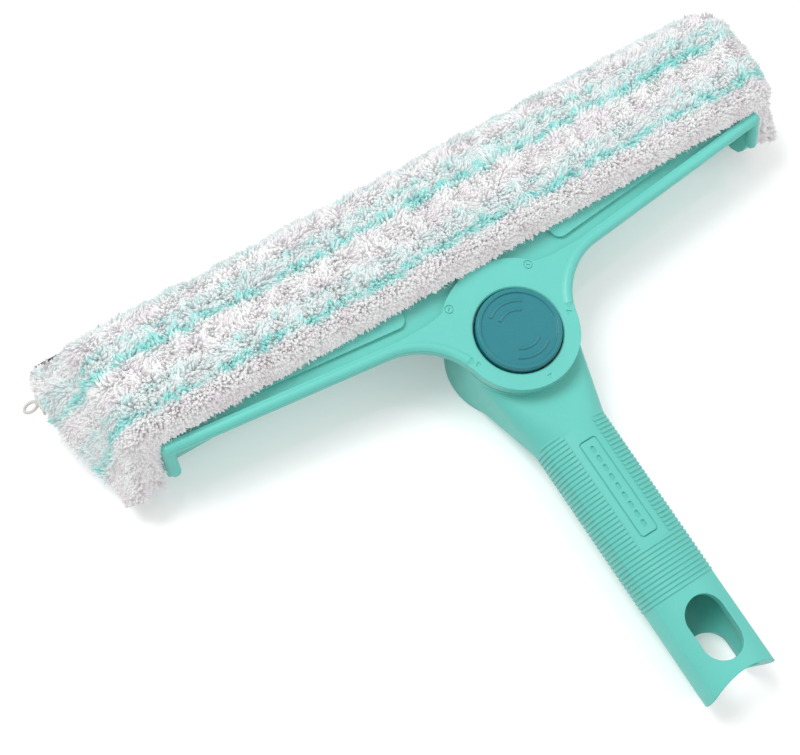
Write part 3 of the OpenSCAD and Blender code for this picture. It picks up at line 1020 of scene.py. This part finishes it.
    def tufts(
        self, shape: TuftShape, a: Array, b: Array, draw: np.random.Generator
    ) -> tuple[Array, Array, Array]:
        """Shapes one bent tuft on each root.

        Each tuft's centre line leaves along the surface normal and bends over with
        a power of its length, and its radius swells and then closes to a blunt tip.

        Args:
            shape: The kind of tuft.
            a: Root lengths along the cloth.
            b: Root lengths across it.
            draw: The random source.

        Returns:
            The tufts' points, as tuft by point, a soft normal for each point and
            the share along each point of one tuft.
        """
        root = self.form.point(a, b)
        normal = self.form.normal(a, b)
        side = unit(np.cross(normal, np.array([1.0, 0.0, 0.0])))
        front = np.cross(side, normal)
        count = len(a)
        fluffy = smoothstep(*self.fluffy_span, b)
        clumps = [LatticeNoise(seed, self.clump_cell).at(a, b) for seed in (21, 22)]
        plain, more = self.clump_shares
        lean_a, lean_b = (
            clump * (plain + more * fluffy) + draw.normal(0, shape.stray, count) for clump in clumps
        )
        heave = LatticeNoise(23, self.heave_cell).at(a, b) * fluffy
        plain, more = self.length_shares
        luck = draw.normal(0, self.length_luck, count)
        length = shape.length * (plain + more * fluffy + self.heave_share * heave + luck)
        lean = lean_a[:, None] * front + lean_b[:, None] * side
        share = np.linspace(0.0, 1.0, shape.rings + 1)
        centre = (
            root[:, None, :]
            - self.sink * normal[:, None, :]
            + (length[:, None] * share)[..., None] * normal[:, None, :]
            + (length[:, None] * share**self.bend_power)[..., None] * lean[:, None, :]
        )
        twist = draw.uniform(0, 2 * np.pi, count)
        radius = shape.radius * draw.uniform(*self.radius_shares, count)
        swell = (1 + shape.bush * share) * np.sqrt(np.clip(1 - share**self.tip_power, 0.0, 1.0))
        corner = np.arange(shape.sides) * 2 * np.pi / shape.sides
        angle = twist[:, None, None] + corner[None, None, :] + share[None, :, None]
        spread = np.cos(angle)[..., None] * front[:, None, None, :]
        spread = spread + np.sin(angle)[..., None] * side[:, None, None, :]
        points = centre[:, :, None, :] + (radius[:, None] * swell)[:, :, None, None] * spread
        body = points[:, :-1].reshape(count, -1, 3)
        tilt = normal + self.tilt_share * lean
        soft = (self.roundness * spread[:, :-1] + tilt[:, None, None, :]).reshape(count, -1, 3)
        along = np.append(np.repeat(share[:-1], shape.sides), 1.0)
        body = np.concatenate([body, centre[:, -1:]], axis=1)
        soft = np.concatenate([soft, tilt[:, None, :]], axis=1)
        return body, unit(soft), along

    @staticmethod
    def tuft_faces(shape: TuftShape, count: int) -> list[Array]:
        """Faces of a number of tufts: bands of quads, a pointed end and a closed root.

        Args:
            shape: The kind of tuft.
            count: How many tufts.

        Returns:
            Quads, triangles and root faces.
        """
        sides = shape.sides
        corner = np.arange(sides)
        following = (corner + 1) % sides
        per = shape.rings * sides + 1
        band = np.stack([corner, following, following + sides, corner + sides], axis=1)
        bands = (band[None] + sides * np.arange(shape.rings - 1)[:, None, None]).reshape(-1, 4)
        last = (shape.rings - 1) * sides
        point = np.stack([last + corner, last + following, np.full(sides, per - 1)], axis=1)
        start = (np.arange(count) * per)[:, None, None]
        return [
            (bands[None] + start).reshape(-1, 4),
            (point[None] + start).reshape(-1, 3),
            (corner[::-1][None, None] + start).reshape(-1, sides),
        ]

    def plant(
        self, name: str, shape: TuftShape, yarn: Material, draw: np.random.Generator
    ) -> None:
        """Plants one kind of tuft, in pieces that are small enough to hand over.

        Args:
            name: The start of the pieces' names.
            shape: The kind of tuft.
            yarn: The finish.
            draw: The random source.
        """
        a, b = self.roots(shape.spacing, draw)
        tint = self.tint(a, b, draw)
        order = np.argsort(a, kind="stable")
        triangles = (shape.rings - 1) * shape.sides * 2 + 2 * shape.sides - 2
        parts = int(np.ceil(len(a) * triangles / self.most_triangles))
        for number, picks in enumerate(np.array_split(order, parts)):
            points, soft, along = self.tufts(shape, a[picks], b[picks], draw)
            piece = new_piece(
                f"{name}_{number + 1}", points.reshape(-1, 3),
                self.tuft_faces(shape, len(picks)), yarn, Body.HEAD, "plush_fabric",
            )
            for label, values in (
                ("along", np.tile(along, len(picks))),
                ("tint", np.repeat(tint[picks], len(along))),
            ):
                layer = piece.data.attributes.new(label, "FLOAT", "POINT")
                layer.data.foreach_set("value", values.astype(np.float32))
            layer = piece.data.attributes.new("soft", "FLOAT_VECTOR", "POINT")
            layer.data.foreach_set("vector", soft.astype(np.float32).ravel())

    def build(self) -> None:
        cloth = self.cloth()
        yarn = self.finishes.yarn.material()
        draw = np.random.default_rng(11)
        self.plant("pile", LOBE, yarn, draw)
        self.plant("fuzz", FIBRE, yarn, draw)


# ---- swept lines


UP = np.array([0.0, 0.0, 1.0])
SQUARE_FIRST = np.array([1, 1, -1, -1])
SQUARE_SECOND = np.array([-1, 1, 1, -1])


def round_section(radius: float, corners: int, rings: int) -> tuple[Array, Array]:
    """The offsets that sweep a circle along a line.

    Args:
        radius: The circle's radius.
        corners: Points around it.
        rings: Points along the line.

    Returns:
        Offsets to the line's two sides, as ring by corner.
    """
    corner = np.linspace(0, 2 * np.pi, corners, endpoint=False)
    first = np.tile(radius * np.cos(corner), (rings, 1))
    return first, np.tile(radius * np.sin(corner), (rings, 1))


def squared(wave: Array, power: float) -> Array:
    """A sine or cosine at a low power, with its sign kept, which squares its circle."""
    return np.sign(wave) * np.abs(wave) ** power


def join(parts: list[tuple[Array, list[Array]]]) -> tuple[Array, list[Array]]:
    """Adds up swept parts, and numbers each one's points on from the part before.

    Args:
        parts: The points and the faces of each part.

    Returns:
        All the points and all the faces.
    """
    faces, count = [], 0
    for points, own in parts:
        faces += [face + count for face in own]
        count += len(points)
    return np.concatenate([points for points, _ in parts]), faces


def sweep(line: Array, first: Array, second: Array, closed: bool) -> tuple[Array, list[Array]]:
    """Sweeps a ring of points along a line.

    Args:
        line: The centre line, one point per row.
        first: For each ring and corner, the offset along the line's side.
        second: For each ring and corner, the offset along the line's other side.
        closed: Whether the line comes back to its start.

    Returns:
        The points and the faces, with flat ends on an open line.
    """
    if closed:
        ahead = unit(np.roll(line, -1, axis=0) - np.roll(line, 1, axis=0))
    else:
        ahead = unit(np.gradient(line, axis=0))
    side = unit(np.cross(ahead, UP))
    other = np.cross(side, ahead)
    points = line[:, None, :] + first[..., None] * side[:, None, :]
    points = points + second[..., None] * other[:, None, :]
    rings, corners = first.shape
    corner = np.arange(corners)
    after = (corner + 1) % corners
    ring = np.arange(rings if closed else rings - 1)[:, None]
    following = (ring + 1) % rings
    quads = np.stack(
        [ring * corners + corner, following * corners + corner,
         following * corners + after, ring * corners + after], axis=-1,
    ).reshape(-1, 4)
    faces = [quads]
    if not closed:
        faces += [corner[None, :], ((rings - 1) * corners + corner)[None, ::-1]]
    return points.reshape(-1, 3), faces


# ---- the small soft parts


@dataclass
class SoftTrim:
    """The hanging loop, the tape that holds it and the hook tapes under the sleeve.

    A shift is how far a part sits from the middle of the node that it replaces.
    """

    finishes: Finishes
    strand: float = 0.42 * MM
    turns: int = 9
    twist_share: float = 0.8
    loop_half: tuple[float, float] = (2.7 * MM, 1.7 * MM)
    loop_sag: float = 0.35
    loop_shift: tuple[float, float, float] = (1.2 * MM, 2.2 * MM, 0.0)
    tab_shift: tuple[float, float, float] = (0.9 * MM, 1.0 * MM, 0.0)
    tab_thick: float = 0.8
    pull: float = 0.18
    pucker: float = 0.12 * MM
    hook_inner: float = 30.0 * MM
    hook_pitch: float = 1.6 * MM
    hook_height: float = 0.56 * MM
    hook_reach: float = 0.35 * MM
    hook_sink: float = 0.1 * MM
    hook_half: float = 0.16 * MM
    hook_taper: float = 0.4
    margin: tuple[float, float] = (1.2 * MM, 1.0 * MM)
    base_share: float = 0.45
    ripple: float = 0.05 * MM

    def loop(self, thread: Material) -> None:
        """Twists two strands around each other in a small oval loop.

        Args:
            thread: The finish.
        """
        low, high = np.array(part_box("hang_loop"))
        angle = np.linspace(0, 2 * np.pi, 240, endpoint=False)
        half_x, half_y = self.loop_half
        sag = -self.loop_sag * half_x * (1 - np.cos(angle))
        oval = np.stack([half_x * np.cos(angle), half_y * np.sin(angle), sag], axis=1)
        centre = (low + high) / 2 + np.array(self.loop_shift) + oval
        outward = np.stack([np.cos(angle), np.sin(angle), np.zeros_like(angle)], axis=1)
        section = round_section(self.strand, 10, len(angle))
        strands = []
        for phase in (0.0, np.pi):
            twist = (self.turns * angle + phase)[:, None]
            around = np.cos(twist) * outward + np.sin(twist) * UP
            line = centre + self.twist_share * self.strand * around
            strands.append(sweep(line, *section, closed=True))
        piece = new_piece("loop_cord", *join(strands), thread, Body.HEAD, "loop_thread")
        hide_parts("hang_loop")

    def tab(self, thread: Material) -> None:
        """Folds a short tape over the loop, with a rounded fold and a puckered edge.

        Args:
            thread: The finish.
        """
        low, high = np.array(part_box("loop_tab"))
        half = (high - low) / 2
        along = np.linspace(-1, 1, 25)
        corner = np.linspace(0, 2 * np.pi, 28, endpoint=False)
        pucker = self.pucker * np.sin(9 * along)
        fold = np.stack([pucker, along * half[1], 0.5 * pucker], axis=1)
        line = (low + high) / 2 + np.array(self.tab_shift) + fold
        pull = (1 - self.pull * along**6)[:, None]
        first = half[0] * pull * squared(np.cos(corner), 0.7)
        second = self.tab_thick * half[2] * pull * squared(np.sin(corner), 0.35)
        points, faces = sweep(line, first, second, closed=False)
        piece = new_piece("loop_tape", points, faces, thread, Body.HEAD, "loop_thread")
        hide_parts("loop_tab")

    def hook(self, foot: Array) -> tuple[Array, list[Array]]:
        """Bends one thin hook up from its foot and over along the head.

        Args:
            foot: Where it stands on the tape.

        Returns:
            Its points and faces.
        """
        share = np.linspace(0, 1, 4)
        over = self.hook_reach * (1 - np.cos(share * np.pi))
        rise = self.hook_height * np.sin(share * 0.8 * np.pi) - self.hook_sink
        half = self.hook_half * (1 - self.hook_taper * share)[:, None]
        line = foot + np.stack([over, rise, np.zeros_like(share)], axis=1)
        return sweep(line, half * SQUARE_FIRST, half * SQUARE_SECOND, closed=False)

    def hooks(self) -> None:
        """Sets rows of small bent hooks on a thin tape at each side of the tray."""
        tape = self.finishes.tape.material()
        low, high = np.array(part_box("hook_strips"))
        base = low[1] + self.base_share * (high[1] - low[1])
        end, edge = self.margin
        along = np.linspace(-1, 1, 19)
        ripple = self.ripple * np.sin(7 * along)
        level = np.zeros_like(along)
        wide = np.full((len(along), 1), (base - low[1]) / 2) * SQUARE_FIRST
        tall = np.full((len(along), 1), (high[2] - low[2]) / 2) * SQUARE_SECOND
        parts = []
        for x0, x1 in ((low[0], -self.hook_inner), (self.hook_inner, high[0])):
            x, z = np.meshgrid(
                np.arange(x0 + end, x1 - end, self.hook_pitch),
                np.arange(low[2] + edge, high[2] - edge, self.hook_pitch),
            )
            for foot_x, foot_z in zip(x.ravel(), z.ravel()):
                parts.append(self.hook(np.array([foot_x, base, foot_z])))
            centre = np.array([(x0 + x1) / 2, (low[1] + base) / 2, (low[2] + high[2]) / 2])
            line = centre + np.stack([along * (x1 - x0) / 2, level, ripple], axis=1)
            parts.append(sweep(line, wide, tall, closed=False))
        piece = new_piece("hook_tape", *join(parts), tape, Body.HEAD, "strip_fabric", False)
        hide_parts("hook_strips")

    def build(self) -> None:
        """Builds the three small soft parts."""
        thread = self.finishes.thread.material()
        self.loop(thread)
        self.tab(thread)
        self.hooks()


# ---- the rigid parts


@dataclass
class Handle:
    """The handle with its cap, screws and spring."""

    finishes: Finishes
    wire: float = 0.65 * MM
    coils: int = 7
    steps: int = 28
    closed_pitch: float = 0.45
    closed_turns: tuple[float, float] = (0.6, 1.4)
    press: float = 3.5 * MM
    slack: float = 0.1 * MM

    def spring(self) -> None:
        """Winds the button's spring, with closed end coils."""
        steel = self.finishes.wire.material()
        low, high = np.array(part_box("return_spring"))
        middle, radius = (low + high) / 2, (high[0] - low[0]) / 2 - self.wire
        height = high[2] - low[2]
        turn = np.linspace(0, self.coils, self.coils * self.steps + 1)
        inward = np.minimum(turn, self.coils - turn)
        pitch = self.closed_pitch + smoothstep(*self.closed_turns, inward)
        rise = np.concatenate([[0.0], np.cumsum((pitch[1:] + pitch[:-1]) / 2)])
        angle = 2 * np.pi * turn
        line = np.stack(
            [
                middle[0] + radius * np.cos(angle),
                middle[1] + radius * np.sin(angle),
                low[2] + self.wire + (height - 2 * self.wire) * rise / rise[-1],
            ],
            axis=1,
        )
        points, faces = sweep(line, *round_section(self.wire, 12, len(turn)), closed=False)
        piece = new_piece("spring_coil", points, faces, steel, Body.HANDLE, "spring_steel")
        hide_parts("return_spring")
        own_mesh(piece)

    def build(self) -> None:
        """Dresses the handle's nodes and winds its spring."""
        plastic = self.finishes.handle.material()
        dress("handle_shell", plastic)
        dress("back_cap", plastic)
        dress("cap_screws", self.finishes.screw.material())
        self.spring()


@dataclass
class Head:
    """The swivel head without its sleeve."""

    finishes: Finishes

    def build(self) -> None:
        """Dresses the head's nodes."""
        plastic = self.finishes.frame.material()
        insert = self.finishes.insert.material()
        screw = self.finishes.screw.material()
        for node in ("head_frame", "sleeve_carrier"):
            dress(node, plastic)
        for node in ("carrier_plugs", "rail_clips"):
            dress(node, insert)
        for node in ("carrier_screws", "ring_screws", "rail_screws"):
            dress(node, screw)
        dress("glide_washer", self.finishes.nylon.material())
        dress("retaining_ring", self.finishes.pressed.material())
        dress("blade_rail", self.finishes.rail.material())
        dress("squeegee_blade", self.finishes.rubber.material())


@dataclass
class Button:
    """The release button with its clutch disc and clip."""

    finishes: Finishes

    def build(self) -> None:
        """Dresses the button's nodes."""
        dress("release_button", self.finishes.button.material())
        dress("clutch_disc", self.finishes.clutch.material())
        dress("stem_clip", self.finishes.wire.material())


# ---- the studio


@dataclass
class Studio:
    """The floor, the lights and the camera."""

    camera_place: tuple[float, float, float] = (-0.2067, -0.1180, 0.5827)
    turn: tuple[float, float, float] = (2.724, -0.800, 0.285)
    lens: float = 67.72
    roll: float = 1.0
    floor_size: float = 4.0
    floor_drop: float = 0.0002
    floor_glow: float = 0.22
    sky_glow: float = 0.66
    aim: tuple[float, float, float] = (0.0, 0.0, 0.02)

    def camera(self) -> None:
        """Places the camera; its turn is an axis times an angle, from world to lens axes."""
        spin = Vector(self.turn)
        world_to_lens = Matrix.Rotation(spin.length, 3, spin.normalized())
        right, down, ahead = (Vector(world_to_lens[i]) for i in range(3))
        lens_axes = Matrix((right, -down, -ahead)).transposed()
        data = bpy.data.cameras.new("camera")
        data.lens = self.lens
        data.sensor_width = 36.0
        data.clip_start = 0.01
        camera = bpy.data.objects.new("camera", data)
        around = Matrix.Rotation(np.radians(self.roll), 4, "Z")
        camera.matrix_world = around @ Matrix.Translation(self.camera_place) @ lens_axes.to_4x4()
        bpy.context.scene.collection.objects.link(camera)
        bpy.context.scene.camera = camera

    def floor(self) -> None:
        """Lays a pale, faintly glossy floor under the tool."""
        half = self.floor_size / 2
        line = np.linspace(-half, half, 9)
        x, y = np.meshgrid(line, line, indexing="ij")
        points = np.stack([x, y, np.full_like(x, -self.floor_drop)], axis=-1).reshape(-1, 3)
        mesh = bpy.data.meshes.new("floor")
        mesh.from_pydata(points.tolist(), [], grid_faces(9, 9).tolist())
        graph = Graph("floor_sheet")
        cloud = graph.span(graph.noise(3.0, 2.0), 0.0, 1.0)
        tone = graph.blend(cloud, (0.84, 0.84, 0.84), (0.86, 0.86, 0.86))
        mesh.materials.append(
            graph.finish(
                base_color=tone, roughness=0.05, ior=1.8,
                emission_color=(1.0, 1.0, 1.0), emission_strength=self.floor_glow,
            )
        )
        floor = bpy.data.objects.new("floor", mesh)
        bpy.context.scene.collection.objects.link(floor)

    def light(self, name: str, place: tuple[float, float, float], size: float, power: float) -> None:
        """Hangs a soft square light that looks at the tool.

        Args:
            name: The light's name.
            place: Where it hangs.
            size: Its side.
            power: Its power in watts.
        """
        data = bpy.data.lights.new(name, "AREA")
        data.size = size
        data.energy = power
        lamp = bpy.data.objects.new(name, data)
        lamp.location = place
        towards = Vector(self.aim) - Vector(place)
        lamp.rotation_euler = towards.to_track_quat("-Z", "Y").to_euler()
        bpy.context.scene.collection.objects.link(lamp)

    def build(self) -> None:
        """Sets up the whole studio."""
        world = bpy.data.worlds.new("studio")
        world.use_nodes = True
        background = world.node_tree.nodes["Background"]
        background.inputs["Color"].default_value = (1.0, 1.0, 1.0, 1.0)
        background.inputs["Strength"].default_value = self.sky_glow
        bpy.context.scene.world = world
        bpy.context.scene.view_settings.view_transform = "Standard"
        self.light("key", (-0.5, 0.9, 1.5), 0.8, 22.0)
        self.light("fill", (1.0, -0.6, 1.2), 1.2, 5.0)
        self.floor()
        self.camera()


def main() -> None:
    """Builds the tool and its studio in order."""
    logging.basicConfig(level=logging.INFO, format="%(name)s: %(message)s")
    finishes = Finishes()
    for part in (Handle, Head, Button, WasherSleeve, SoftTrim):
        part(finishes).build()
    Studio().build()


if __name__ == "__main__":
    main()
